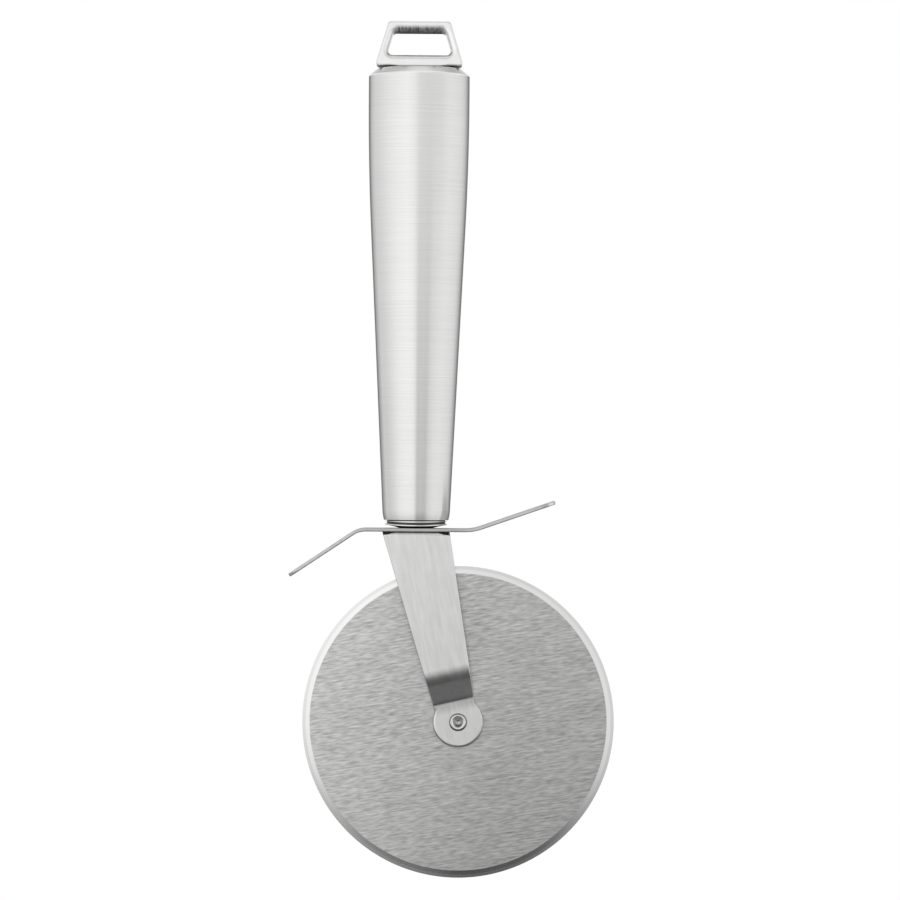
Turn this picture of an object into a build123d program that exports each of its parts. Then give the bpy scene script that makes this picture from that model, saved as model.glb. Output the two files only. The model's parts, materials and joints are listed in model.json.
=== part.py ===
from build123d import *
import os
from math import atan2, cos, degrees, radians, sin, sqrt

# Pizza cutter wheel, upright as it hangs: +Z runs up the handle, +X to the right and +Y to the back.
# The wheel turns about an axis along Y. The origin lies in the middle of the underside of the hanging
# loop's top bar, where a hook bears. Lengths are in millimetres and angles in degrees.

# Fits and cuts
seat_clearance = 0.05        # each side, between pieces that are pushed or screwed together
running_clearance = 0.05     # radial, between the blade's bore and the bush
side_play = 0.05             # each side, between the blade and a washer
cut_overrun = 2.0            # how far every cutting solid runs past what it cuts

# Hanging loop
loop_depth = 7.0
loop_top_bar = 3.0
loop_hole_height = 6.2
loop_base_bar = 3.0
loop_top_width = 16.8
loop_base_width = 24.1
loop_hole_top_inset = 1.3    # each side, the hole's top width within the loop's top width
loop_hole_base_inset = 3.1   # each side, the hole's base width within the loop's base width
loop_top_corner_radius = 1.3
loop_base_corner_radius = 0.8
loop_hole_corner_radius = 1.2
loop_outer_round = 0.6
loop_hole_round = 1.5
loop_leg_land = 0.005        # flat left between the two roundings of a leg, where it is narrow
loop_foot_length = 12.0
loop_foot_height = 0.35
loop_foot_flare = 2.0
loop_spigot_radius = 2.4
loop_spigot_length = 4.0

# Top cap of the handle
top_cap_height = 2.45
top_cap_crown_width = 22.2
top_cap_crown_depth = 16.9
top_cap_crown_radius = 300.0
top_cap_bevel_spread = 3.0
top_cap_ridge_round = 0.3
top_cap_plug_depth = 4.0
top_cap_plug_wall = 1.5

# Handle tube
grip_width = 27.54
grip_end_width = 18.2
grip_depth_share = 0.75
grip_length = 121.0
grip_straight_length = 5.5
grip_bend_length = 36.0
grip_wall = 1.0
grip_close_in = 0.3
grip_close_length = 2.6

# End cap of the handle
end_cap_width = 16.9
end_cap_height = 2.2
end_cap_crown_radius = 42.0
end_cap_seat_radius = 4.5
end_cap_gap = 0.3
end_cap_gap_depth = 0.5
end_cap_groove_width = 0.45
end_cap_groove_depth = 0.5
end_cap_lip_height = 0.5
end_cap_plug_depth = 6.0

# Threaded insert and screw
insert_radius = 4.2
insert_length = 12.0
screw_radius = 2.5
screw_length = 16.0
screw_head_radius = 4.25
screw_head_height = 2.8
screw_head_round = 1.0
screw_socket_width = 3.0
screw_socket_depth = 1.6
screw_hole_radius = 2.7
lock_washer_radius = 4.2
lock_washer_thickness = 1.2
lock_washer_slit = 0.8
lock_washer_slit_angle = 25.0

# Finger guard
guard_thickness = 1.0
guard_depth = 12.6
guard_flat_length = 31.3
guard_left_length = 22.6
guard_left_drop_angle = 33.8
guard_left_bend_radius = 6.5
guard_right_length = 23.5
guard_right_rise_angle = 19.2
guard_right_bend_radius = 13.0
guard_corner_radius = 3.0
guard_edge_round = 0.3

# Fork
fork_sheet = 1.2
fork_washer_room = 1.1        # beside the lock washer, to the arm
fork_blade_room = 9.3         # from the top of the bridge down to the blade's edge
fork_offset = 11.83           # from the handle's axis across to the wheel's axis
fork_top_width = 18.3
fork_neck_width = 10.5
fork_bridge_outer_radius = 1.2
fork_bridge_inner_radius = 0.6
fork_bridge_land = 11.2
fork_bridge_fall = 0.9            # at the bridge's four corners
fork_bridge_fall_run = 2.5        # from the outer side in to the full height
fork_ear_radius = 6.85
fork_neck_round = 2.0
fork_step_low = 6.1
fork_step_high = 13.2
fork_step_low_bend_radius = 2.0   # to the middle of the sheet
fork_step_high_bend_radius = 8.0  # to the middle of the sheet
fork_edge_round = 0.3

# Blade
blade_diameter = 85.0
blade_thickness = 1.0
blade_bevel_width = 2.0
blade_hone_width = 0.9
blade_hone_thickness = 0.64
blade_edge_thickness = 0.1

# Pivot
bush_radius = 3.5
washer_radius = 6.0
washer_thickness = 0.3
rivet_radius = 1.8
rivet_head_radius = 3.9
rivet_head_height = 1.5
rivet_roll_radius = 2.45
rivet_roll_height = 0.8
rivet_recess_radius = 1.15
rivet_recess_depth = 1.5
rivet_recess_cone = 0.5

# Sizes that follow from a neighbour's
loop_hole_top_width = loop_top_width - 2 * loop_hole_top_inset
loop_hole_base_width = loop_base_width - 2 * loop_hole_base_inset
fork_reach = blade_diameter / 2 + fork_blade_room

# The loop's legs lean, and the hole's rim is rounded no further than they are wide
loop_height = loop_top_bar + loop_hole_height + loop_base_bar
loop_spread = (loop_base_width - loop_top_width) / loop_height
leg_lean = atan2(loop_base_width - loop_top_width, 2 * loop_height)
leg_at_top = (loop_top_width + loop_spread * loop_top_bar - loop_hole_top_width) / 2
leg_at_base = (loop_base_width - loop_spread * loop_base_bar - loop_hole_base_width) / 2
leg_width = min(leg_at_top, leg_at_base) * cos(leg_lean)
hole_round = min(loop_hole_round, leg_width - loop_outer_round - loop_leg_land)

# Heights of the stack, from the loop down to the wheel's axis
loop_base_z = -loop_hole_height - loop_base_bar
crown_z = loop_base_z - loop_foot_height
grip_top_z = crown_z - top_cap_height
grip_end_z = grip_top_z - grip_length
guard_top_z = grip_end_z - end_cap_height
bridge_z = guard_top_z - guard_thickness
axle_z = bridge_z - fork_reach
axle = (fork_offset, 0, axle_z)
screw_seat_z = bridge_z - fork_sheet - lock_washer_thickness

# Sizes that follow from the fits
bush_length = blade_thickness + 2 * (side_play + washer_thickness)
fork_width = 2 * (lock_washer_radius + fork_washer_room + fork_sheet)
ear_face = bush_length / 2 + fork_sheet
rivet_hole_radius = rivet_radius + seat_clearance
insert_bore_radius = screw_radius + seat_clearance
cut_reach = fork_reach + fork_width + cut_overrun

# The arms lean by this angle, from the middle of the bridge to the axle
arm_angle = degrees(atan2(fork_offset, fork_reach))
across_arm = (cos(radians(arm_angle)), 0, sin(radians(arm_angle)))
arm_front = Plane(origin=axle, x_dir=across_arm, z_dir=(0, -1, 0))
arm_side = Plane(origin=axle, x_dir=(0, 1, 0), z_dir=across_arm)


def hanging_loop():
    """Cast eye: a rounded trapezoid ring on a flared foot, with a spigot that enters the top cap."""
    outer = Plane.XZ * make_face(
        Polyline(
            (-loop_base_width / 2, loop_base_z),
            (-loop_foot_length / 2 - loop_foot_flare, loop_base_z),
            (-loop_foot_length / 2, crown_z),
            (loop_foot_length / 2, crown_z),
            (loop_foot_length / 2 + loop_foot_flare, loop_base_z),
            (loop_base_width / 2, loop_base_z),
            (loop_top_width / 2, loop_top_bar),
            (-loop_top_width / 2, loop_top_bar),
            close=True,
        )
    )
    hole = Plane.XZ * make_face(
        Polyline(
            (-loop_hole_base_width / 2, -loop_hole_height),
            (loop_hole_base_width / 2, -loop_hole_height),
            (loop_hole_top_width / 2, 0),
            (-loop_hole_top_width / 2, 0),
            close=True,
        )
    )
    outer = fillet(outer.vertices().group_by(Axis.Z)[-1], loop_top_corner_radius)
    base_corners = outer.vertices().sort_by(Axis.X)
    outer = fillet([base_corners[0], base_corners[-1]], loop_base_corner_radius)
    hole = fillet(hole.vertices(), loop_hole_corner_radius)
    eye = extrude(outer, loop_depth / 2, both=True)
    eye = fillet(eye.faces().filter_by(Axis.Y).edges(), loop_outer_round)
    eye -= extrude(hole, loop_depth / 2 + cut_overrun, both=True)
    rims = [
        edge
        for face in eye.faces().filter_by(Axis.Y)
        for wire in face.inner_wires()
        for edge in wire.edges()
    ]
    eye = fillet(rims, hole_round)
    spigot_plane = Plane.XY.offset(crown_z - loop_spigot_length)
    spigot = extrude(spigot_plane * Circle(loop_spigot_radius), loop_spigot_length + loop_foot_height)
    return eye + spigot


def grip_half_width(z):
    """Half the handle's width at a height: straight, then bending evenly into a steady taper."""
    run = grip_top_z - z - grip_straight_length
    taper_length = grip_length - grip_straight_length - grip_bend_length
    slope = (grip_width - grip_end_width) / (grip_bend_length + 2 * taper_length)
    bend = min(max(run, 0), grip_bend_length)
    taper = max(run - grip_bend_length, 0)
    close = max(grip_close_length - (z - grip_end_z), 0) / grip_close_length
    return grip_width / 2 - slope * (bend**2 / (2 * grip_bend_length) + taper) - grip_close_in * close**2


def grip_section(z, inset):
    """The handle's oval at a height, drawn in by an inset all round."""
    half = grip_half_width(z)
    return Plane.XY.offset(z) * Ellipse(half - inset, half * grip_depth_share - inset)


def handle_tube():
    """Tapered oval tube, open at both ends."""
    bend_top = grip_top_z - grip_straight_length
    bend_end = bend_top - grip_bend_length
    close_top = grip_end_z + grip_close_length
    bend_shares = [0, 0.25, 0.5, 0.75, 1]
    heights = [grip_top_z]
    heights += [bend_top - share * grip_bend_length for share in bend_shares]
    heights += [(bend_end + close_top) / 2, close_top, grip_end_z + grip_close_length / 2, grip_end_z]
    outer = loft([grip_section(z, 0) for z in heights])
    inner = loft([grip_section(z, grip_wall) for z in heights])
    return outer - inner


def handle_top_cap():
    """Lid with a bevelled shoulder, a low crown and a plug that enters the tube's wide end."""
    grip = grip_section(grip_top_z, 0)
    crown = Plane.XY.offset(crown_z) * Ellipse(top_cap_crown_width / 2, top_cap_crown_depth / 2)
    bevel_foot = Plane.XY.offset(grip_top_z) * Ellipse(
        top_cap_crown_width / 2 + top_cap_bevel_spread, top_cap_crown_depth / 2 + top_cap_bevel_spread
    )
    lid = extrude(grip, top_cap_height) & loft([bevel_foot, crown])
    lid &= Pos(0, 0, crown_z - top_cap_crown_radius) * Sphere(top_cap_crown_radius)
    ridges = [edge for edge in lid.edges() if edge.bounding_box().min.Z > grip_top_z]
    lid = fillet(ridges, top_cap_ridge_round)
    plug_inset = grip_wall + seat_clearance
    plug_wall_inset = plug_inset + top_cap_plug_wall
    plug = extrude(grip_section(grip_top_z, plug_inset), -top_cap_plug_depth)
    plug -= extrude(grip_section(grip_top_z, plug_wall_inset), -top_cap_plug_depth - cut_overrun)
    mouth_plane = Plane.XY.offset(grip_top_z)
    mouth_circle = mouth_plane * Circle(loop_spigot_radius + seat_clearance)
    return lid + plug - extrude(mouth_circle, top_cap_height + cut_overrun, both=True)


def crown_ball(lowest_z):
    """Ball whose lowest point is at a height: the end cap's crown and groove follow it."""
    return Pos(0, 0, lowest_z + end_cap_crown_radius) * Sphere(end_cap_crown_radius)


def handle_end_cap():
    """Crowned lid with a groove round it, a plug in the tube and a seat for the threaded insert."""
    seat_rise = end_cap_crown_radius - sqrt(end_cap_crown_radius**2 - end_cap_seat_radius**2)
    crown_low_z = guard_top_z - seat_rise
    half = end_cap_width / 2
    rim_plane = Plane.XY.offset(guard_top_z)
    rim = extrude(rim_plane * Ellipse(half, half * grip_depth_share), end_cap_height)
    cap = rim & crown_ball(crown_low_z)
    neck = half - end_cap_groove_depth
    neck_depth = half * grip_depth_share - end_cap_groove_depth
    around = extrude(rim_plane * Circle(half + cut_overrun), end_cap_height)
    around -= extrude(rim_plane * Ellipse(neck, neck_depth), end_cap_height)
    groove_low_z = crown_low_z + end_cap_lip_height
    groove = around & crown_ball(groove_low_z) - crown_ball(groove_low_z + end_cap_groove_width)
    gap_plane = Plane.XY.offset(grip_end_z)
    gap = extrude(gap_plane * Circle(half + cut_overrun), -end_cap_gap)
    gap_half = half - end_cap_gap_depth
    gap_half_depth = half * grip_depth_share - end_cap_gap_depth
    gap -= extrude(gap_plane * Ellipse(gap_half, gap_half_depth), -end_cap_gap)
    plug = extrude(grip_section(grip_end_z, grip_wall + seat_clearance), end_cap_plug_depth)
    seat_plane = Plane.XY.offset(grip_end_z)
    insert_seat = extrude(
        seat_plane * Circle(insert_radius + seat_clearance), end_cap_plug_depth + cut_overrun
    )
    screw_hole = extrude(seat_plane * Circle(screw_hole_radius), end_cap_height + cut_overrun, both=True)
    return cap - groove - gap + plug - insert_seat - screw_hole


def threaded_insert():
    """Bush inside the end cap, whose bore takes the screw."""
    body = extrude(Plane.XY.offset(grip_end_z) * Circle(insert_radius), insert_length)
    bore_plane = Plane.XY.offset(grip_end_z - cut_overrun)
    bore = extrude(bore_plane * Circle(insert_bore_radius), insert_length + 2 * cut_overrun)
    return body - bore


def finger_guard():
    """Bent strip between the handle and the fork: left wing down, right wing up."""
    middle_z = guard_top_z - guard_thickness / 2
    half_flat = guard_flat_length / 2
    drop = radians(guard_left_drop_angle)
    rise = radians(guard_right_rise_angle)
    line = FilletPolyline(
        (-half_flat - guard_left_length * cos(drop), middle_z - guard_left_length * sin(drop)),
        (-half_flat, middle_z),
        (half_flat, middle_z),
        (half_flat + guard_right_length * cos(rise), middle_z + guard_right_length * sin(rise)),
        radius=[guard_left_bend_radius, guard_right_bend_radius],
    )
    strip = extrude(Plane.XZ * trace(line, guard_thickness), guard_depth / 2, both=True)
    ends = strip.faces().sort_by(Axis.X)
    corners = [
        edge
        for face in (ends[0], ends[-1])
        for edge in face.edges()
        if edge.length < guard_depth / 2
    ]
    strip = fillet(corners, guard_corner_radius)
    rims = [edge for edge in strip.edges() if edge.length > guard_thickness]
    strip = fillet(rims, guard_edge_round)
    hole_plane = Plane.XY.offset(middle_z)
    return strip - extrude(hole_plane * Circle(screw_hole_radius), guard_thickness, both=True)


def fork_outline():
    """Front view of the fork: a leaning taper that ends in a round ear, with the bridge's ends let down."""
    lean_x, _, lean_z = across_arm
    neck = fork_neck_width / 2
    half = fork_top_width / 2
    strip = Plane.XZ * make_face(
        Polyline(
            (-half, bridge_z),
            (half, bridge_z),
            (fork_offset + neck * lean_x, axle_z + neck * lean_z),
            (fork_offset - neck * lean_x, axle_z - neck * lean_z),
            close=True,
        )
    )
    outline = strip + arm_front * Circle(fork_ear_radius)
    necks = [
        corner
        for corner in outline.vertices()
        if corner.Z < bridge_z - fork_reach / 2
    ]
    return fillet(necks, fork_neck_round)


def bridge_falls():
    """Wedges that let the four corners of the bridge down from the guard."""
    half = fork_top_width / 2
    outer = fork_width / 2
    low_z = bridge_z - fork_bridge_fall
    above_z = bridge_z + cut_overrun
    ends = []
    slopes = []
    for side in (-1, 1):
        top = Polyline(
            (side * fork_bridge_land / 2, bridge_z),
            (side * fork_bridge_land / 2, above_z),
            (side * (half + cut_overrun), above_z),
            (side * (half + cut_overrun), low_z),
            (side * half, low_z),
        )
        curve = SagittaArc(
            (side * half, low_z),
            (side * fork_bridge_land / 2, bridge_z),
            side * fork_bridge_fall / 4,
        )
        ends.append(extrude(Plane.XZ * make_face(top + curve), fork_width, both=True))
        slope = Polyline(
            (side * (outer - fork_bridge_fall_run), bridge_z),
            (side * (outer - fork_bridge_fall_run), above_z),
            (side * (outer + cut_overrun), above_z),
            (side * (outer + cut_overrun), low_z),
            (side * outer, low_z),
            close=True,
        )
        slopes.append(extrude(Plane.YZ * make_face(slope), cut_reach, both=True))
    return [end & slope for end in ends for slope in slopes]


def bridge_section():
    """Side view of the fork's upper part: the bridge between its two arms, with pressed corners."""
    outer = fork_width / 2
    inner = outer - fork_sheet
    section = Plane.YZ * make_face(
        Polyline(
            (-outer, axle_z),
            (-outer, bridge_z),
            (outer, bridge_z),
            (outer, axle_z),
            (inner, axle_z),
            (inner, bridge_z - fork_sheet),
            (-inner, bridge_z - fork_sheet),
            (-inner, axle_z),
            close=True,
        )
    )
    section = fillet(section.vertices().group_by(Axis.Z)[-2], fork_bridge_inner_radius)
    return fillet(section.vertices().group_by(Axis.Z)[-1], fork_bridge_outer_radius)


def fork():
    """U-shaped bracket of sheet: bridge, two leaning arms stepped in towards the blade, and two ears."""
    arm_y = fork_width / 2 - fork_sheet / 2
    ear_y = ear_face - fork_sheet / 2
    join = (fork_step_high + fork_reach) / 2
    upper = extrude(bridge_section(), cut_reach, both=True)
    along_arm = arm_side.y_dir
    cut = Plane(origin=Vector(axle) + along_arm * join, z_dir=along_arm)
    upper = split(upper, bisect_by=cut, keep=Keep.TOP)
    lower = Part()
    for side in (-1, 1):
        arm_line = FilletPolyline(
            (side * ear_y, -fork_ear_radius - cut_overrun),
            (side * ear_y, fork_step_low),
            (side * arm_y, fork_step_high),
            (side * arm_y, join),
            radius=[fork_step_low_bend_radius, fork_step_high_bend_radius],
        )
        lower += extrude(arm_side * trace(arm_line, fork_sheet), cut_reach, both=True)
    bracket = (upper + lower) & extrude(fork_outline(), fork_width, both=True)
    bracket -= bridge_falls()
    bracket -= extrude(arm_front * Circle(rivet_hole_radius), fork_width, both=True)
    hole_plane = Plane.XY.offset(bridge_z)
    bracket -= extrude(hole_plane * Circle(screw_hole_radius), fork_sheet + cut_overrun, both=True)
    arm_faces = bracket.faces().filter_by(Axis.Y).sort_by(Axis.Y)
    rims = [edge for face in (arm_faces[0], arm_faces[-1]) for edge in face.edges()]
    return fillet(rims, fork_edge_round)


def fork_screw():
    """Pan-head machine screw with a hexagon socket, driven up from between the arms."""
    seat = Plane.XY.offset(screw_seat_z)
    shank = extrude(seat * Circle(screw_radius), screw_length)
    head = extrude(seat * Circle(screw_head_radius), -screw_head_height)
    head = fillet(head.edges().sort_by(Axis.Z)[0], screw_head_round)
    bottom = Plane.XY.offset(screw_seat_z - screw_head_height)
    hexagon = RegularPolygon(screw_socket_width / 2, 6, major_radius=False)
    socket = extrude(bottom * hexagon, screw_socket_depth)
    return shank + head - socket


def lock_washer():
    """Split spring washer, drawn flat as when the screw is tight."""
    plane = Plane.XY.offset(screw_seat_z)
    ring = extrude(plane * Circle(lock_washer_radius), lock_washer_thickness)
    ring -= extrude(plane * Circle(screw_hole_radius), lock_washer_thickness + cut_overrun, both=True)
    slit = Box(lock_washer_radius + cut_overrun, lock_washer_slit, 2 * lock_washer_thickness + cut_overrun)
    middle_z = screw_seat_z + lock_washer_thickness / 2
    reach = (lock_washer_radius + cut_overrun) / 2
    return ring - Pos(reach, 0, middle_z) * Rot(lock_washer_slit_angle, 0, 0) * slit


def turned(profile):
    """Solid of revolution about the axle, from a profile of radius against place along the axle."""
    return Pos(*axle) * revolve(profile, Axis.Y)


def ring_profile(inner, outer, low, high):
    """Rectangle between two radii and two places along the axle."""
    return make_face(Polyline((inner, low), (outer, low), (outer, high), (inner, high), close=True))


def blade():
    """Disc with a bevel and a finer honed edge on both faces, bored to run on the bush."""
    rim = blade_diameter / 2
    bore = bush_radius + running_clearance
    half_face = [
        (bore, blade_thickness / 2),
        (rim - blade_bevel_width, blade_thickness / 2),
        (rim - blade_hone_width, blade_hone_thickness / 2),
        (rim, blade_edge_thickness / 2),
    ]
    other_face = [(radius, -place) for radius, place in reversed(half_face)]
    return turned(make_face(Polyline(*half_face, *other_face, close=True)))


def pivot_bush():
    """Sleeve between the ears that keeps them apart, so the blade turns freely."""
    return turned(ring_profile(rivet_hole_radius, bush_radius, -bush_length / 2, bush_length / 2))


def pivot_washer(side):
    """Thin washer against one ear, in front for side -1 and behind for side 1."""
    ear = side * bush_length / 2
    low, high = sorted((ear, ear - side * washer_thickness))
    return turned(ring_profile(bush_radius + seat_clearance, washer_radius, low, high))


def pivot_rivet():
    """Semi-tubular rivet: oval head behind, shank through ears and bush, end rolled over in front."""
    roll_top = -ear_face - rivet_roll_height
    recess_floor = roll_top + rivet_recess_depth
    head_face = ear_face + rivet_head_height
    outline = Polyline(
        (0, head_face),
        (0, recess_floor + rivet_recess_cone),
        (rivet_recess_radius, recess_floor),
        (rivet_recess_radius, -ear_face),
    )
    roll_middle = (rivet_recess_radius + rivet_roll_radius) / 2
    roll = ThreePointArc(
        (rivet_recess_radius, -ear_face), (roll_middle, roll_top), (rivet_roll_radius, -ear_face)
    )
    shank = Polyline(
        (rivet_roll_radius, -ear_face),
        (rivet_radius, -ear_face),
        (rivet_radius, ear_face),
        (rivet_head_radius, ear_face),
    )
    rim_face = (ear_face + head_face) / 2
    rim = Line((rivet_head_radius, ear_face), (rivet_head_radius, rim_face))
    dome = SagittaArc((0, head_face), (rivet_head_radius, rim_face), (head_face - rim_face) / 4)
    return turned(make_face(outline + roll + shank + rim + dome))


pieces = {
    "hang_loop": hanging_loop(),
    "handle_top_cap": handle_top_cap(),
    "handle_tube": handle_tube(),
    "handle_end_cap": handle_end_cap(),
    "threaded_insert": threaded_insert(),
    "finger_guard": finger_guard(),
    "fork": fork(),
    "fork_screw": fork_screw(),
    "lock_washer": lock_washer(),
    "blade": blade(),
    "pivot_bush": pivot_bush(),
    "front_washer": pivot_washer(-1),
    "rear_washer": pivot_washer(1),
    "pivot_rivet": pivot_rivet(),
}

os.makedirs("parts", exist_ok=True)
for name, solid in pieces.items():
    export_step(solid, f"parts/{name}.step")
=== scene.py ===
import json
from math import atan2, cos, hypot, pi, radians, sin, sqrt

import bpy
from bpy.props import FloatProperty, FloatVectorProperty, IntProperty, PointerProperty
from mathutils import Matrix, Vector


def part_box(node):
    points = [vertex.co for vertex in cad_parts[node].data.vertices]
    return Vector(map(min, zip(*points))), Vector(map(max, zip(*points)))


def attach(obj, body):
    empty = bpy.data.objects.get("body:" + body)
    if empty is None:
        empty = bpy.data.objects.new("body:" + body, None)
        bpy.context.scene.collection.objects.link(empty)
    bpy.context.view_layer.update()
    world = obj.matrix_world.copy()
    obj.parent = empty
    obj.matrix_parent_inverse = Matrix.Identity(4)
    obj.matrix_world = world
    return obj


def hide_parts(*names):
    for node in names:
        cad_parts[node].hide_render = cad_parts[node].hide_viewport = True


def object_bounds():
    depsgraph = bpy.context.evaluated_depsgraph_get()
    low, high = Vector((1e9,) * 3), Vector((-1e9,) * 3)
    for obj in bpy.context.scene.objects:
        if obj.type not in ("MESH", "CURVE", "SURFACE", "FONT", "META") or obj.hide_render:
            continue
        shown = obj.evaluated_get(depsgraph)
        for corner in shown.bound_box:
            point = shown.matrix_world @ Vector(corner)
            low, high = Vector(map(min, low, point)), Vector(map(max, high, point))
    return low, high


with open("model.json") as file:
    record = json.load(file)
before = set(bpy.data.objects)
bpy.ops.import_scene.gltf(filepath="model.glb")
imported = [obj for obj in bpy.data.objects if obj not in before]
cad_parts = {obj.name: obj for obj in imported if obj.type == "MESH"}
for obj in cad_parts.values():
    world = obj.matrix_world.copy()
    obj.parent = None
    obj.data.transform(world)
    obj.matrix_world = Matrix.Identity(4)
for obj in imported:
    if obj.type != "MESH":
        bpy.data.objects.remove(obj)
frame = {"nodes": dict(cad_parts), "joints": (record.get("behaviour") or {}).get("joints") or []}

bl_info = {
    "name": "Pizza cutter wheel",
    "version": (1, 0, 0),
    "blender": (4, 5, 0),
    "location": "View3D > Sidebar > Pizza cutter",
    "description": "Dresses the packed pizza cutter with steel finishes and a plain light studio",
    "category": "Object",
}

CAD_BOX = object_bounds()
BODY = "cutter_body"
WHEEL = "cutting_wheel"
AXLE = Vector(frame["joints"][0]["pos_m"])
TUBE_LOW, TUBE_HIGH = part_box("handle_tube")
BLADE_LOW, BLADE_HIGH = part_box("blade")
FORK_SHEET = 0.0012
EAR_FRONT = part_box("pivot_bush")[0].y - FORK_SHEET
MIDDLE = (Vector(CAD_BOX[0]) + Vector(CAD_BOX[1])) / 2
LID_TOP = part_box("handle_top_cap")[1].z
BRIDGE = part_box("fork")[1].z
FORK_LEAN = atan2(AXLE.x, BRIDGE - AXLE.z)
SEAT_CLEARANCE = 0.00005
DEPTH_SHARE = (TUBE_HIGH.y - TUBE_LOW.y) / (TUBE_HIGH.x - TUBE_LOW.x)


# Sizes and colours that a user would change

def length(name, description, default):
    """Size in metres, shown in the file's own unit."""
    return FloatProperty(
        name=name, description=description, default=default, min=0, unit="LENGTH", precision=5
    )


def tint(name, description, default):
    """Colour of the bare steel, as it would be under white light."""
    return FloatVectorProperty(
        name=name, description=description, default=default, size=3, min=0, max=1, subtype="COLOR"
    )


def share(name, description, default):
    """Number from 0 to 1."""
    return FloatProperty(
        name=name, description=description, default=default, min=0, max=1, subtype="FACTOR"
    )


def angle(name, description, default):
    """Angle, shown in degrees."""
    return FloatProperty(name=name, description=description, default=default, subtype="ANGLE")


def power(name, description, default):
    """Power of a lamp, in watts."""
    return FloatProperty(
        name=name, description=description, default=default, min=0, unit="POWER"
    )


def count(name, description, default, least):
    """Number of sides or rings."""
    return IntProperty(name=name, description=description, default=default, min=least)


class CutterSizes(bpy.types.PropertyGroup):
    """Sizes of the pieces that are modelled anew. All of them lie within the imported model."""

    grip_wall: length("Grip wall", "Thickness of the handle's sheet", 0.001)
    grip_straight: length("Straight run", "Length of the handle's straight top", 0.0055)
    grip_bend: length("Bend length", "Length over which the taper sets in", 0.036)
    grip_end_width: length("Grip end width", "Handle's width where the taper ends", 0.0182)
    grip_close_in: length("Closing in", "How far the tube's end is drawn in, each side", 0.0003)
    grip_close_length: length("Closing length", "Length over which its end is drawn in", 0.0026)
    grip_bend_rings: count("Bend rings", "Rings along the bend", 12, 2)
    grip_close_rings: count("Closing rings", "Rings along the drawn-in end", 5, 1)
    lid_crown_width: length("Lid crown width", "Width of the top cap's crown", 0.0222)
    lid_crown_depth: length("Lid crown depth", "Depth of the same crown", 0.0157)
    lid_crown_radius: length("Lid crown radius", "Radius of the ball that the crown follows", 0.3)
    lid_spread: length("Lid spread", "How far the shoulder spreads, each side", 0.003)
    lid_round: length("Lid round", "Width of a ridge's rounding, each side", 0.00028)
    lid_mouth: length("Lid mouth", "Radius of the mouth for the loop's spigot", 0.00245)
    lid_plug_wall: length("Lid plug wall", "Thickness of the plug's wall", 0.0015)
    rim_edge: length("Rim edge", "Rounding of the end cap's rims", 0.00006)
    cap_gap: length("Cap gap", "Height of the gap between tube and end cap", 0.0003)
    cap_gap_depth: length("Cap gap depth", "How far that gap goes in", 0.0005)
    cap_lip: length("Cap lip", "Height of the end cap's lowest rim", 0.00038)
    cap_groove: length("Cap groove", "Width of the groove above it", 0.00058)
    cap_groove_depth: length("Cap groove depth", "How far the groove goes in", 0.0005)
    cap_crown_radius: length("Cap crown", "Radius of the end cap's crowned face", 0.042)
    cap_lift: length("Cap lift", "How far the crown's rim stands off its ball", 0.00026)
    cap_seat: length("Cap seat", "Radius of the flat seat on the finger guard", 0.0045)
    cap_plug: length("Cap plug", "How far the end cap enters the tube", 0.006)
    insert_seat: length("Insert seat", "Radius of the insert's seat in the end cap", 0.00425)
    screw_hole: length("Screw hole", "Radius of the hole for the screw", 0.0027)
    bevel_width: length("Bevel width", "From the wheel's edge to its flat face", 0.002)
    hone_width: length("Hone width", "From the wheel's edge to the end of its finer facet", 0.0009)
    hone_thickness: length("Hone thickness", "Wheel's thickness at its finer facet", 0.0005)
    edge_thickness: length("Edge thickness", "Wheel's thickness at its very edge", 0.0001)
    bore: length("Bore", "Radius of the hole in the wheel", 0.00355)
    roll_radius: length("Roll radius", "Outer radius of the rivet's rolled end", 0.00245)
    roll_height: length("Roll height", "How far the rolled end stands out", 0.0008)
    recess_radius: length("Recess radius", "Radius of the rivet's recess", 0.00115)
    recess_depth: length("Recess depth", "Depth of the rivet's recess", 0.0015)
    recess_cone: length("Recess cone", "How far the recess sinks in its middle", 0.0005)
    shank_radius: length("Shank radius", "Radius of the rivet's shank", 0.0018)
    head_radius: length("Head radius", "Radius of the rivet's head, at the back", 0.0039)
    head_height: length("Head height", "Height of the rivet's head, at the back", 0.0015)
    wheel_sides: count("Wheel sides", "Sides of the wheel's rim", 288, 24)
    grip_sides: count("Grip sides", "Sides of the handle's oval", 160, 24)
    rivet_sides: count("Rivet sides", "Sides of the rivet", 96, 12)
    smooth_angle: angle("Smooth angle", "Edges flatter than this look smooth", radians(38))
    facet_angle: angle("Facet angle", "The same for the wheel, whose facets are flat", radians(3))


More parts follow.
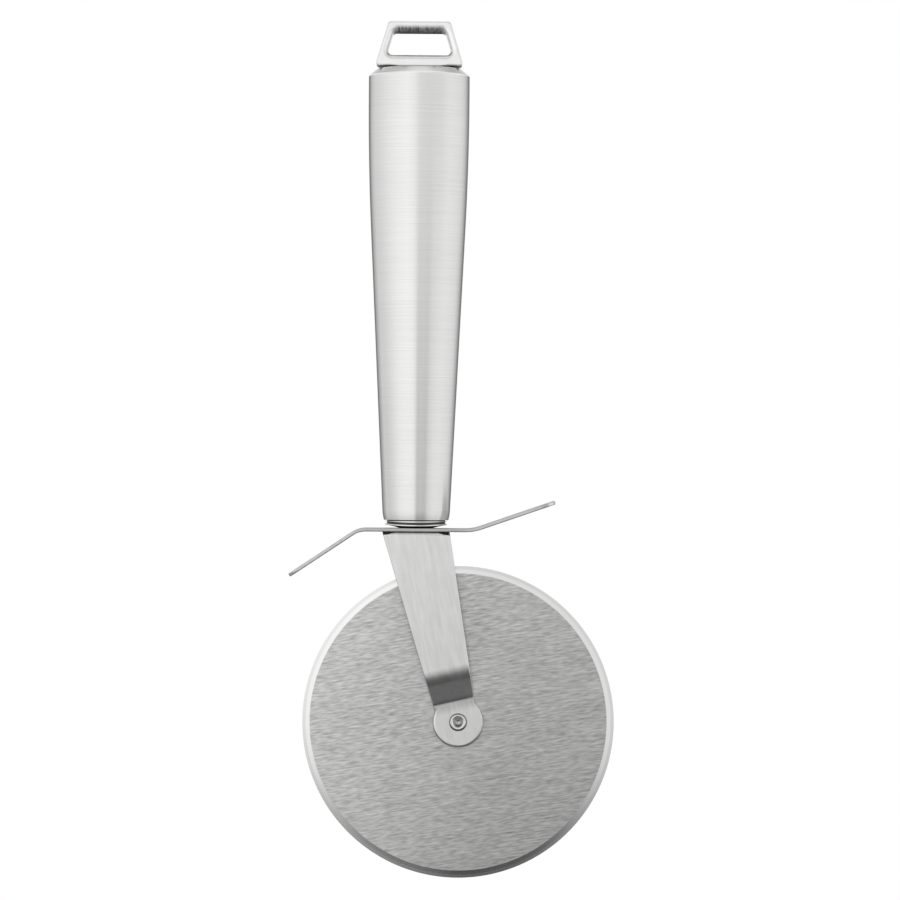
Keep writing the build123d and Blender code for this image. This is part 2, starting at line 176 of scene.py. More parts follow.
class CutterFinishes(bpy.types.PropertyGroup):
    """Colours and roughness of the steels."""

    loop_tint: tint("Loop", "Polished casting", (0.86, 0.86, 0.855))
    cap_tint: tint("Caps", "Satin lids of the handle", (0.74, 0.74, 0.735))
    grip_tint: tint("Grip", "Sheet brushed round the handle", (0.757, 0.757, 0.752))
    sheet_tint: tint("Sheet", "Rolled sheet of guard and fork", (0.728, 0.728, 0.723))
    blade_tint: tint("Blade", "Belt-ground face of the wheel", (0.645, 0.645, 0.64))
    bevel_tint: tint("Bevel", "Ground edge of the wheel", (0.82, 0.82, 0.815))
    pivot_tint: tint("Pivot", "Turned and clinched rivet", (0.72, 0.72, 0.715))
    plated_tint: tint("Plated", "Zinc-plated screw and washers", (0.70, 0.71, 0.73))
    loop_roughness: share("Loop roughness", "Roughness of the polished loop", 0.32)
    cap_roughness: share("Cap roughness", "Roughness of the satin lids", 0.22)
    # Roughness of the ridge's painted highlight, a brighter copy of the lid's steel.
    ridge_roughness: share("Ridge roughness", "Roughness of the burnished ridge", 0.3)
    # Roughness of the painted shade in the end cap's groove, gap and crown beside the guard.
    cap_hollow_shade_roughness: share("Grime roughness", "Roughness of the polishing grime", 0.5)
    grip_roughness: share("Grip roughness", "Roughness along the handle", 0.22)
    blade_roughness: share("Blade roughness", "Roughness across the grinding marks", 0.31)
    sheet_roughness: share("Sheet roughness", "Roughness of the rolled sheet", 0.32)
    pivot_roughness: share("Pivot roughness", "Roughness of the turned pivot", 0.2)
    plated_roughness: share("Plating roughness", "Roughness of the plated pieces", 0.28)


class CutterStudio(bpy.types.PropertyGroup):
    """Camera, tent, floor and lamps."""

    camera_distance: length("Camera distance", "From the wheel's mid-plane to the lens", 1.1)
    focal_length: FloatProperty(
        name="Focal length", description="Lens, in mm", default=161.17, min=1, unit="CAMERA"
    )
    aim: FloatVectorProperty(
        name="Aim", description="Point that lies in the middle of the picture",
        default=(0.00911, 0.0, -0.11385), size=3, subtype="XYZ",
    )
    lift: angle("Lift", "How far the camera looks up", radians(0.5))
    roll: angle("Roll", "Turn of the picture round its middle", radians(0.41))
    tent_radius: length("Tent radius", "Radius of the light tent round the object", 0.45)
    floor_drop: length("Floor drop", "From the object's middle down to the floor", 0.47)
    floor_radius: length("Floor radius", "Radius of the pale floor", 1.3)
    key_power: power("Key lamp", "Lamp at the upper left", 9.0)
    key_size: length("Key size", "Side of the key lamp", 0.9)
    fill_power: power("Fill lamp", "Lamp at the right", 5.0)
    fill_size: length("Fill size", "Side of the fill lamp", 0.8)


# Shader maths as plain expressions

class Reading:
    """Number that varies over a surface. An expression with it adds Math nodes to its material."""

    def __init__(self, finish, socket):
        self.finish = finish
        self.socket = socket

    def __add__(self, other):
        return self.finish.maths("ADD", self, other)

    __radd__ = __add__

    def __sub__(self, other):
        return self.finish.maths("SUBTRACT", self, other)

    def __rsub__(self, other):
        return self.finish.maths("SUBTRACT", other, self)

    def __mul__(self, other):
        return self.finish.maths("MULTIPLY", self, other)

    __rmul__ = __mul__

    def __truediv__(self, other):
        return self.finish.maths("DIVIDE", self, other)

    def __abs__(self):
        return self.finish.maths("ABSOLUTE", self)

    def swing(self, reach):
        """This reading of 0 to 1 as a swing about 0, with a reach from end to end."""
        return (self - 0.5) * reach


class Finish:
    """Material or world whose nodes are being laid out."""

    def __init__(self, owner):
        owner.use_nodes = True
        self.owner = owner
        self.tree = owner.node_tree
        self.tree.nodes.clear()

    def node(self, kind, settings=None, inputs=None, output=0):
        """Adds a node, sets its settings and then its sockets.

        It gives one of the node's outputs, or a list of them where a tuple names several."""
        made = self.tree.nodes.new("ShaderNode" + kind)
        for setting, value in (settings or {}).items():
            if setting == "stops":
                self.set_stops(made.color_ramp, value)
            else:
                setattr(made, setting, value)
        for key, value in (inputs or {}).items():
            if isinstance(value, Reading):
                self.tree.links.new(value.socket, made.inputs[key])
            else:
                made.inputs[key].default_value = value
        if isinstance(output, tuple):
            return [Reading(self, made.outputs[name]) for name in output]
        return Reading(self, made.outputs[output]) if made.outputs else made

    @staticmethod
    def set_stops(ramp, stops):
        """Grey tones of a ramp, as pairs of place and tone."""
        while len(ramp.elements) < len(stops):
            ramp.elements.new(1)
        for element, (place, tone) in zip(ramp.elements, stops):
            element.position = place
            element.color = (tone, tone, tone, 1)

    def maths(self, operation, *terms):
        """Math node over numbers and readings."""
        return self.node("Math", {"operation": operation}, dict(enumerate(terms)))

    def vectors(self, operation, *terms, output="Vector"):
        """Vector Math node over places."""
        return self.node("VectorMath", {"operation": operation}, dict(enumerate(terms)), output)

    def place(self):
        """Object coordinates, which stay with the piece."""
        return self.node("TexCoord", output="Object")

    def axes(self, place):
        """The three numbers of a place."""
        return self.node("SeparateXYZ", inputs={"Vector": place}, output=("X", "Y", "Z"))

    def axle_distance(self, place):
        """Distance of a place from the wheel's axle, which runs along Y."""
        radial = self.vectors("MULTIPLY", self.vectors("SUBTRACT", place, AXLE), (1, 0, 1))
        return self.vectors("LENGTH", radial, output="Value")

    def noise(self, place, scale, detail, angle=(0, 0, 0), centre=(0, 0, 0)):
        """Cloudy noise from 0 to 1, turned about a centre, and streaks where scales differ."""
        moved = self.vectors("SUBTRACT", place, centre)
        turned = self.node("Mapping", inputs={"Vector": moved, "Rotation": angle})
        scaled = self.vectors("MULTIPLY", turned, scale)
        inputs = {"Vector": scaled, "Scale": 1.0, "Detail": detail, "Roughness": 0.5}
        return self.node("TexNoise", {"noise_dimensions": "3D"}, inputs)

    def blend(self, factor, first, second, mode="MIX"):
        """Colour between two others, or their product in the mode MULTIPLY."""
        settings = {"data_type": "RGBA", "blend_type": mode}
        return self.node("Mix", settings, {0: factor, 6: first, 7: second}, output=2)

    def ramp(self, factor, stops):
        """Grey tones laid out along a number."""
        return self.node("ValToRGB", {"stops": stops}, {"Fac": factor})

    def clamp(self, value):
        """Number held between 0 and 1."""
        return self.node("Clamp", inputs={"Value": value})

    def fade(self, value, start, end):
        """0 up to start, 1 from end on, and a smooth climb between them."""
        return self.node(
            "MapRange", {"interpolation_type": "SMOOTHSTEP"},
            {"Value": value, "From Min": start, "From Max": end},
        )

    def band(self, value, climb, fall):
        """1 between a climb and a fall, each a start and an end, and 0 outside them."""
        return self.fade(value, *climb) * (1 - self.fade(value, *fall))

    def bump(self, height, distance, strength):
        """Normal that a relief of a height gives."""
        return self.node(
            "Bump", inputs={"Height": height, "Distance": distance, "Strength": strength}
        )

    def output(self, kind, surface):
        """Links the last shader to the output."""
        self.node(kind, inputs={"Surface": surface})
        return self.owner


def new_finish(name):
    """Finish that is laid out on a new material."""
    return Finish(bpy.data.materials.new(name))


def rgba(colour, level=1.0):
    """Colour of a property, at a level, with full alpha."""
    return (*[channel * level for channel in colour], 1)


def grey(tone):
    """Grey colour with full alpha."""
    return (tone, tone, tone, 1)


# How many marks each finish has to a metre along X, Y and Z

GRIP_LINES = (70, 70, 5200)
GRIP_BANDS = (22, 22, 900)
GRIP_DRIFT = (20, 20, 60)
CAP_LINES = (160, 160, 4200)
CAP_CLOUDS = (500, 500, 500)
CAST_RUNS = (1900, 700, 350)
CAST_CLOUDS = (420, 420, 420)
SHEET_LINES = (1500, 1500, 150)
SHEET_BANDS = (600, 600, 60)
SHEET_CLOUDS = (300, 300, 300)
BELT_MARKS = (380, 380, 2500)
BELT_BANDS = (70, 70, 2200)
BELT_DRIFT = (30, 30, 60)
PIVOT_CLOUDS = (900, 900, 900)
PLATING_CLOUDS = (700, 700, 700)
PAPER_GRAIN = (900, 900, 900)

# Where the finishes change and where painted shade lies, each as the start and the end of a
# change, in metres

BAR_UNDERSIDE_LOW = (-0.0004, -0.0001)
BAR_UNDERSIDE_HIGH = (0.0008, 0.0022)
BAR_UNDERSIDE_ENDS = (0.0056, 0.0076)
LOOP_DEPTH = (-0.0035, 0.0035)
FOOT_TOP = (LID_TOP + 0.0003, LID_TOP + 0.0006)
OVERHANG_INSIDE = (0.0056, 0.0066)
OVERHANG_OUTSIDE = (0.0090, 0.0098)
SHEARED_RIM = (-0.0003, -0.0001)
GUARD_WINGS = (0.012, 0.018)
GUARD_TIPS = (0.0338, 0.0350)
EAR_TOP = (AXLE.z + 0.002, AXLE.z + 0.004)
EAR_ROUNDING = (0.0062, 0.0070)
EAR_RIM_SHADE = (0.0065, 0.0068)
STEP_BOTTOM = (0.0022, 0.0050)
STEP_TOP = (0.0054, 0.0060)
CREASE_BOTTOM = (0.0052, 0.0058)
CREASE_TOP = (0.0058, 0.0072)
BEVEL_START = (-0.00205, -0.00195)
HONE_START = (-0.00095, -0.00085)
ROLL_FRONT = (-EAR_FRONT - 0.00015, -EAR_FRONT)
RIVET_ROLL_SHADE = (0.0019, 0.0023)
RIVET_RECESS_SHADE = (0.0009, 0.0013)
RECESS_CORE = (0.0008, 0.0012)

# Relief of the finishes, in metres

BRUSHED_RELIEF = 0.000003
GROUND_RELIEF = 0.000006
SHEET_RELIEF = 0.00001
CAST_RELIEF = 0.00002

BELT_LEAN = radians(9)
PIVOT_RINGS = 26000
# How much brighter the ridge's painted highlight is than the lid's steel.
RIDGE_HIGHLIGHT_LEVEL = 1.34
# Share of the lid's colour that the end cap's painted shade keeps.
CAP_HOLLOW_SHADE_LEVEL = 0.12


def steel(
    finish, colour, marks, roughness, normal=None,
    anisotropy=0.0, turn=0.0, grazing=1.0, depth=0.25,
):
    """Bare steel whose colour swings about its own by marks, a number about 0.

    Depth is the share of the colour that it swings by, and grazing its gloss at a flat look; a
    grazing below 1 darkens edges seen at a slant, which is painted shade. Some finishes carry
    painted shade in their marks too."""
    factor = finish.clamp(marks + 0.5)
    inputs = {
        "Base Color": finish.blend(factor, rgba(colour, 1 - depth), rgba(colour, 1 + depth)),
        "Specular Tint": grey(grazing),
        "Metallic": 1.0,
        "Roughness": roughness,
        "Anisotropic": anisotropy,
        "Anisotropic Rotation": turn,
    }
    if normal:
        inputs["Normal"] = normal
    return finish.output("OutputMaterial", finish.node("BsdfPrincipled", inputs=inputs))


def brushed_grip(looks):
    """Handle: fine marks that run round it, with a slow change of tone down its length."""
    finish = new_finish("brushed_grip")
    place = finish.place()
    fine = finish.noise(place, GRIP_LINES, 3.0)
    broad = finish.noise(place, GRIP_BANDS, 2.0)
    slow = finish.noise(place, GRIP_DRIFT, 2.0)
    marks = fine.swing(0.36) + broad.swing(0.10) + slow.swing(0.12)
    roughness = looks.grip_roughness + broad.swing(0.05)
    normal = finish.bump(fine, BRUSHED_RELIEF, 0.3)
    # A grazing of 0.22 darkens the handle's edges seen at a slant: painted shade.
    return steel(
        finish, looks.grip_tint, marks, roughness, normal,
        anisotropy=0.9, turn=0.25, grazing=0.22,
    )


def satin_caps(looks):
    """Lids of the handle: satin all over, with faint marks round them."""
    finish = new_finish("satin_caps")
    place = finish.place()
    fine = finish.noise(place, CAP_LINES, 2.0)
    cloud = finish.noise(place, CAP_CLOUDS, 2.0)
    marks = fine.swing(0.4) + cloud.swing(0.2)
    roughness = looks.cap_roughness + cloud.swing(0.08)
    return steel(finish, looks.cap_tint, marks, roughness, finish.bump(fine, BRUSHED_RELIEF, 0.3))


def painted_ridge_highlight(looks):
    """Shoulder and ridge of the top cap: the lid's steel made brighter, a painted highlight."""
    finish = new_finish("painted_ridge_highlight")
    fine = finish.noise(finish.place(), CAP_LINES, 2.0)
    bright = [channel * RIDGE_HIGHLIGHT_LEVEL for channel in looks.cap_tint]
    return steel(finish, bright, fine.swing(0.1), looks.ridge_roughness)


def painted_cap_hollow_shade(looks):
    """Groove and gap of the end cap, and its crown beside the guard: painted shade, a near-black
    copy of the lid's steel.
    """
    finish = new_finish("painted_cap_hollow_shade")
    cloud = finish.noise(finish.place(), CAP_CLOUDS, 2.0)
    dark = [channel * CAP_HOLLOW_SHADE_LEVEL for channel in looks.cap_tint]
    return steel(finish, dark, cloud.swing(0.4), looks.cap_hollow_shade_roughness)


def polished_loop(looks, name, grazing):
    """Casting: polished, but rough on the undersides of its top bar and foot, which painted shade
    darkens.
    """
    finish = new_finish(name)
    place = finish.place()
    across, back, up = finish.axes(place)
    sideways = abs(across)
    # The top bar's underside is rough, and painted shade darkens it, more towards the back.
    rough_cast_and_shade = finish.band(up, BAR_UNDERSIDE_LOW, BAR_UNDERSIDE_HIGH) * (1 - finish.fade(sideways, *BAR_UNDERSIDE_ENDS))
    deeper_shade = finish.fade(back, *LOOP_DEPTH)
    # Painted shade along the bottom of the base's foot, darker under the base's jutting ends.
    foot = 1 - finish.fade(up, *FOOT_TOP)
    overhang_shade = finish.band(sideways, OVERHANG_INSIDE, OVERHANG_OUTSIDE)
    runs = finish.noise(place, CAST_RUNS, 3.0)
    cloud = finish.noise(place, CAST_CLOUDS, 3.0)
    marks = cloud.swing(0.08) + runs.swing(0.5) * rough_cast_and_shade
    marks = marks - rough_cast_and_shade * (0.37 + deeper_shade * 0.1) - foot * (0.20 + overhang_shade * 0.25)
    roughness = looks.loop_roughness + (rough_cast_and_shade + foot) * 0.25 + cloud.swing(0.06)
    normal = finish.bump(runs * rough_cast_and_shade * 2 + cloud * 0.4, CAST_RELIEF, 0.3)
    return steel(finish, looks.loop_tint, marks, roughness, normal, grazing=grazing, depth=0.95)


def cut_sheet(looks, name, lean, edge):
    """Rolled sheet, whose marks lean by an angle, sheared at an edge's distance from the middle.

    The fork's ears are tumbled round their rims. Painted shade darkens their lower rims, their
    tops where the step meets them, and the bend at the step."""
    finish = new_finish(name)
    place = finish.place()
    along = (0, lean, 0)
    fine = finish.noise(place, SHEET_LINES, 2.0, along)
    broad = finish.noise(place, SHEET_BANDS, 2.0, along)
    cloud = finish.noise(place, SHEET_CLOUDS, 2.0)
    across, back, up = finish.axes(place)
    sideways = abs(across)
    # The guard's cut edge is darker: partly the cut steel's own less bright tone, partly painted
    # shade, strongest in the middle and at the tips and weaker along the wings.
    sheared = finish.fade(abs(back) - edge, *SHEARED_RIM)
    sheared_tone_and_shade = 0.46 - finish.fade(sideways, *GUARD_WINGS) * 0.2
    sheared_tone_and_shade = sheared_tone_and_shade + finish.fade(sideways, *GUARD_TIPS) * 0.25
    radius = finish.axle_distance(place)
    lower = 1 - finish.fade(up, *EAR_TOP)
    tumbled = finish.fade(radius, *EAR_ROUNDING) * lower
    # The ear's lower rim gets a painted shadow.
    rim = finish.fade(radius, *EAR_RIM_SHADE) * lower
    climb = (up - AXLE.z) * cos(FORK_LEAN) + (AXLE.x - across) * sin(FORK_LEAN)
    # Painted shade on the ear's top below the step, and in the bend of the step.
    painted_step_shade = finish.band(climb, STEP_BOTTOM, STEP_TOP)
    crease_shade = finish.band(climb, CREASE_BOTTOM, CREASE_TOP)
    marks = fine.swing(0.35) + broad.swing(0.20) + cloud.swing(0.14)
    marks = marks - sheared * sheared_tone_and_shade - rim * 0.5 - painted_step_shade * 0.38 - crease_shade * 0.4
    roughness = looks.sheet_roughness + cloud.swing(0.10) + sheared * 0.1
    normal = finish.bump(fine + cloud * 3 - tumbled * 45, SHEET_RELIEF, 0.4)
    # A grazing of 0.4 darkens the sheet where it is seen at a slant: painted shade.
    return steel(
        finish, looks.sheet_tint, marks, roughness, normal,
        anisotropy=0.5, grazing=0.4, depth=0.35,
    )


def ground_blade(looks):
    """Wheel: short belt marks on its face, a bright bevel and finer honed edge."""
    finish = new_finish("ground_blade")
    place = finish.place()
    lean = (0, BELT_LEAN, 0)
    fine = finish.noise(place, BELT_MARKS, 1.0, lean, AXLE)
    coarse = finish.noise(place, BELT_BANDS, 1.0, lean, AXLE)
    cloud = finish.noise(place, BELT_DRIFT, 2.0, lean, AXLE)
    from_rim = finish.axle_distance(place) - (BLADE_HIGH.z - AXLE.z)
    bevel = finish.fade(from_rim, *BEVEL_START)
    hone = finish.fade(from_rim, *HONE_START)
    face = 1 - bevel
    marks = (fine.swing(0.9) + coarse.swing(0.5) + cloud.swing(0.16)) * face - hone * 0.06
    colour = finish.blend(bevel, rgba(looks.blade_tint), rgba(looks.bevel_tint))
    tone = finish.blend(finish.clamp(marks + 0.5), grey(0.40), grey(1.5))
    roughness = looks.blade_roughness - bevel * 0.13 + hone * 0.08 + coarse.swing(0.10) * face
    surface = finish.node("BsdfPrincipled", inputs={
        "Base Color": finish.blend(1.0, colour, tone, "MULTIPLY"),
        "Metallic": 1.0,
        "Roughness": roughness,
        "Anisotropic": 0.7,
        "Anisotropic Rotation": 0.25,
        "Normal": finish.bump(fine * face, GROUND_RELIEF, 0.4),
    })
    return finish.output("OutputMaterial", surface)


def turned_pivot(looks):
    """Rivet, bush and washers: turned, with fine rings about the axle, and painted shade round the
    roll and in its recess.
    """
    finish = new_finish("turned_pivot")
    place = finish.place()
    radius = finish.axle_distance(place)
    _, back, _ = finish.axes(place)
    proud = finish.fade(0 - back, *ROLL_FRONT)
    # Painted shade round the roll's outer edge and in its recess, with a darker middle about the
    # axle.
    painted_roll_and_recess_shade = finish.fade(radius, *RIVET_ROLL_SHADE) + (1 - finish.fade(radius, *RIVET_RECESS_SHADE))
    core = 1 - finish.fade(radius, *RECESS_CORE)
    rings = finish.maths("SINE", radius * PIVOT_RINGS)
    cloud = finish.noise(place, PIVOT_CLOUDS, 3.0)
    marks = rings * 0.02 + cloud.swing(0.2) - painted_roll_and_recess_shade * proud * 0.42 - core * 0.22
    roughness = looks.pivot_roughness + cloud.swing(0.1)
    normal = finish.bump(cloud, CAST_RELIEF, 0.3)
    return steel(finish, looks.pivot_tint, marks, roughness, normal, depth=0.9)


def plated_fastener(looks):
    """Screw, lock washer and insert: plated, a little mottled."""
    finish = new_finish("plated_fastener")
    cloud = finish.noise(finish.place(), PLATING_CLOUDS, 3.0)
    roughness = looks.plated_roughness + cloud.swing(0.12)
    normal = finish.bump(cloud, SHEET_RELIEF, 0.3)
    return steel(finish, looks.plated_tint, cloud.swing(0.6), roughness, normal)


# Modelling, with the tools of edit mode

LOOSE_CORNERS = 0.000002
FLAT_ANGLE = radians(0.05)
NORMAL_WEIGHT = 60
ROUNDING_SEGMENTS = 4
HALVINGS = 24


def alone(piece):
    """Makes a piece the only one that is selected, and the active one."""
    bpy.ops.object.select_all(action="DESELECT")
    piece.select_set(True)
    bpy.context.view_layer.objects.active = piece


def modelled(piece, modifier, **settings):
    """Adds a modifier to a piece and applies it."""
    alone(piece)
    added = piece.modifiers.new(modifier.lower(), modifier)
    for setting, value in settings.items():
        setattr(added, setting, value)
    bpy.ops.object.modifier_apply(modifier=added.name)


def smoothed(piece, angle):
    """Shades a piece smooth up to an angle, and lets its large faces stay flat."""
    alone(piece)
    bpy.ops.object.shade_smooth_by_angle(angle=angle)
    modelled(piece, "WEIGHTED_NORMAL", keep_sharp=True, weight=NORMAL_WEIGHT)


def merged(node, angle):
    """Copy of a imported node: triangles merged, flat faces joined and curved ones smooth."""
    piece = bpy.data.objects.new(node + "_finished", frame["nodes"][node].data.copy())
    bpy.context.scene.collection.objects.link(piece)
    alone(piece)
    bpy.ops.object.mode_set(mode="EDIT")
    bpy.ops.mesh.select_all(action="SELECT")
    bpy.ops.mesh.remove_doubles(threshold=LOOSE_CORNERS)
    bpy.ops.mesh.dissolve_limited(angle_limit=FLAT_ANGLE)
    bpy.ops.object.mode_set(mode="OBJECT")
    smoothed(piece, angle)
    return piece


def ringed(name, sections, sides, centre=Vector((0, 0, 0)), along_y=False, closed=True):
    """Skin through sections of half width, half depth and place, each extruded from the last.

    Its two ends are joined to each other if it is closed, and otherwise flat faces fill them."""
    step = Vector((0, 1, 0)) if along_y else Vector((0, 0, 1))
    width, depth, place = sections[0]
    bpy.ops.object.select_all(action="DESELECT")
    bpy.ops.mesh.primitive_circle_add(
        vertices=sides, radius=1, location=centre + step * place,
        rotation=(pi / 2 if along_y else 0, 0, 0),
    )
    piece = bpy.context.object
    piece.name = piece.data.name = name
    bpy.ops.object.transform_apply(location=True, rotation=True, scale=True)
    bpy.ops.object.mode_set(mode="EDIT")
    bpy.ops.mesh.select_all(action="SELECT")
    scale = (width, 1, depth) if along_y else (width, depth, 1)
    bpy.ops.transform.resize(value=scale, center_override=centre + step * place)
    if not closed:
        bpy.ops.mesh.edge_face_add()
    for next_width, next_depth, next_place in sections[1:]:
        move = step * (next_place - place)
        bpy.ops.mesh.extrude_edges_move(TRANSFORM_OT_translate={"value": move})
        share_wide, share_deep = next_width / width, next_depth / depth
        scale = (share_wide, 1, share_deep) if along_y else (share_wide, share_deep, 1)
        bpy.ops.transform.resize(value=scale, center_override=centre + step * next_place)
        width, depth, place = next_width, next_depth, next_place
    if closed:
        bpy.ops.mesh.select_all(action="DESELECT")
        bpy.ops.mesh.select_non_manifold()
        bpy.ops.mesh.bridge_edge_loops()
    else:
        bpy.ops.mesh.edge_face_add()
    bpy.ops.mesh.select_all(action="SELECT")
    bpy.ops.mesh.normals_make_consistent(inside=False)
    bpy.ops.object.mode_set(mode="OBJECT")
    return piece


def rounded_rings(piece, sides, rings, width):
    """Rounds the edges that run along some of a skin's rings."""
    alone(piece)
    for parts in (piece.data.vertices, piece.data.polygons):
        parts.foreach_set("select", [False] * len(parts))
    for edge in piece.data.edges:
        first, last = [corner // sides for corner in edge.vertices]
        edge.select = first == last and first in rings
    bpy.context.scene.tool_settings.mesh_select_mode = (False, True, False)
    bpy.ops.object.mode_set(mode="EDIT")
    bpy.ops.mesh.bevel(offset=width, segments=ROUNDING_SEGMENTS, affect="EDGES")
    bpy.ops.object.mode_set(mode="OBJECT")
    bpy.context.scene.tool_settings.mesh_select_mode = (True, False, False)


def dressed(piece, body, slot, material, *nodes):
    """Gives a new piece its finish and body, and hides the nodes that it stands for; the slot is
    not used.
    """
    piece.data.materials.clear()
    piece.data.materials.append(material)
    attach(piece, body)
    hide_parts(*nodes)


def painted(material, *nodes):
    """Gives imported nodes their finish, on their own slots."""
    for node in nodes:
        for place in frame["nodes"][node].material_slots:
            place.material = material


# Faces that take a finish of their own, by the rise of their normal and by their height: a copy of
# the loop's finish with painted shade on its undersides, and the grip's finish and a painted
# highlight on the lid

DOWNWARD = -0.7
UPRIGHT = 0.02
SHOULDER = 0.75
UNDERSIDES = (0, LID_TOP + 0.0002)
UNDERSIDE_REACH = 0.0004
UNDERSIDE_SHADE_GRAZING = 0.15


class CutterOperator:
    """What the operators share: where their sizes and looks are kept."""

    bl_options = {"REGISTER", "UNDO"}

    @staticmethod
    def kept():
        """Sizes and finishes that the scene keeps."""
        scene = bpy.context.scene
        return scene.cutter_sizes, scene.cutter_finishes


class CUTTER_OT_hang_loop(CutterOperator, bpy.types.Operator):
    """Cast hanging loop with softened edges"""

    bl_idname = "cutter.hang_loop"
    bl_label = "Hanging loop"

    def execute(self, context):
        sizes, looks = self.kept()
        loop = merged("hang_loop", sizes.smooth_angle)
        dressed(loop, BODY, "polished_loop", polished_loop(looks, "polished_loop", 1), "hang_loop")
        # Downward faces near the top bar and the base take a copy of this finish with less gloss
        # at a slant: painted shade.
        loop.data.materials.append(polished_loop(looks, "loop_underside_painted_shade", UNDERSIDE_SHADE_GRAZING))
        for face in loop.data.polygons:
            away = min(abs(face.center.z - height) for height in UNDERSIDES)
            if face.normal.z < DOWNWARD and away < UNDERSIDE_REACH:
                face.material_index = 1
        return {"FINISHED"}


class CUTTER_OT_caps(CutterOperator, bpy.types.Operator):
    """Crowned lids at the two ends of the handle"""

    bl_idname = "cutter.caps"
    bl_label = "Handle caps"

    def execute(self, context):
        sizes, looks = self.kept()
        satin = satin_caps(looks)
        lid = self.top_cap(sizes)
        dressed(lid, BODY, "satin_caps", satin, "handle_top_cap")
        lid.data.materials.append(brushed_grip(looks))
        lid.data.materials.append(painted_ridge_highlight(looks))
        # Above the tube, the lid's upright side takes the grip's finish and its shoulder the
        # ridge's painted highlight.
        for face in lid.data.polygons:
            rise = face.normal.z
            if face.center.z > TUBE_HIGH.z and rise < SHOULDER:
                face.material_index = 1 if abs(rise) < UPRIGHT else 2
        cap, recess = self.end_cap(sizes)
        dressed(cap, BODY, "satin_caps", satin, "handle_end_cap")
        # The groove, the gap under the tube and the crown beside the guard take painted shade.
        cap.data.materials.append(painted_cap_hollow_shade(looks))
        for index in recess:
            cap.data.polygons[index].material_index = 1
        return {"FINISHED"}

    @staticmethod
    def top_cap(sizes):
        """Lid with a balled crown, whose shoulder cuts the tube's oval along a wavy ridge."""
        low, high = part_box("handle_top_cap")
        foot = TUBE_HIGH.z
        rise = high.z - foot
        wide, deep = high.x, high.y
        plug = sizes.grip_wall + SEAT_CLEARANCE
        well = plug + sizes.lid_plug_wall
        mouth = sizes.lid_mouth
        ball = sizes.lid_crown_radius
        slope = sizes.lid_spread / rise

        def crown_edge(half):
            """Where the shoulder meets the ball, from the middle out."""
            return half + slope * half**2 / (2 * (ball - half * slope))

        def ridge_height(place):
            """How high the shoulder meets the oval's upright side, found by halving."""
            under, over = 0, 1
            for _ in range(HALVINGS):
                middle = (under + over) / 2
                spread = sizes.lid_spread * (1 - middle)
                half_width = sizes.lid_crown_width / 2 + spread
                half_depth = sizes.lid_crown_depth / 2 + spread
                outside = hypot(place.x / half_width, place.y / half_depth) > 1
                under, over = (under, middle) if outside else (middle, over)
            return foot + rise * under

        edge_wide = crown_edge(sizes.lid_crown_width / 2)
        edge_deep = crown_edge(sizes.lid_crown_depth / 2)
        sections = [
            (wide, deep, foot),
            (wide, deep, foot + rise / 2),
            (edge_wide, edge_deep, high.z),
            (edge_wide / 2, edge_deep / 2, high.z),
            (mouth, mouth, high.z),
            (mouth, mouth, foot),
            (wide - well, deep - well, foot),
            (wide - well, deep - well, low.z),
            (wide - plug, deep - plug, low.z),
            (wide - plug, deep - plug, foot),
        ]
        ridge, rim, *crown = 1, 2, 3, 4
        lid = ringed("handle_top_cap_balled", sections, sizes.grip_sides)
        for vertex in lid.data.vertices:
            section = vertex.index // sizes.grip_sides
            if section == ridge:
                vertex.co.z = ridge_height(vertex.co)
            elif section in (rim, *crown):
                vertex.co.z = high.z + sqrt(ball**2 - vertex.co.x**2 - vertex.co.y**2) - ball
        rounded_rings(lid, sizes.grip_sides, (ridge, rim), sizes.lid_round)
        smoothed(lid, sizes.smooth_angle)
        return lid

    @staticmethod
    def end_cap(sizes):
        """Crowned lid, turned out of ovals, whose rims and groove follow the crown's ball."""
        low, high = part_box("handle_end_cap")
        wide, deep = high.x, high.y
        end = TUBE_LOW.z
        ball = sizes.cap_crown_radius
        edge = sizes.rim_edge
        seat_rise = ball - sqrt(ball**2 - sizes.cap_seat**2)
        crown = low.z - seat_rise + sizes.cap_lift
        groove = sizes.cap_groove_depth
        gap = sizes.cap_gap_depth
        lip = crown + sizes.cap_lip
        shelf = lip + sizes.cap_groove
        plug_inset = sizes.grip_wall + SEAT_CLEARANCE
        tube_wide = sizes.grip_end_width / 2 - sizes.grip_close_in
        tube_deep = tube_wide * DEPTH_SHARE
        hole, seat = sizes.screw_hole, sizes.insert_seat
        flat = [(hole, hole, low.z), (sizes.cap_seat, sizes.cap_seat, low.z)]
        crowned = [
            ((sizes.cap_seat + wide) / 2, (sizes.cap_seat + deep) / 2, crown),
            (wide - edge, deep - edge, crown),
            (wide, deep, crown + edge),
            (wide, deep, lip - edge),
            (wide - edge, deep - edge, lip),
            (wide - groove, deep - groove, lip),
            (wide - groove, deep - groove, shelf),
            (wide - edge, deep - edge, shelf),
            (wide, deep, shelf + edge),
        ]
        upper = [
            (wide, deep, end - sizes.cap_gap - edge),
            (wide - edge, deep - edge, end - sizes.cap_gap),
            (wide - gap, deep - gap, end - sizes.cap_gap),
            (wide - gap, deep - gap, end),
            (tube_wide - plug_inset, tube_deep - plug_inset, end),
            (tube_wide - plug_inset, tube_deep - plug_inset, end + sizes.cap_plug),
            (seat, seat, end + sizes.cap_plug),
            (seat, seat, end),
            (hole, hole, end),
        ]
        cap = ringed("handle_end_cap_crowned", flat + crowned + upper, sizes.grip_sides)
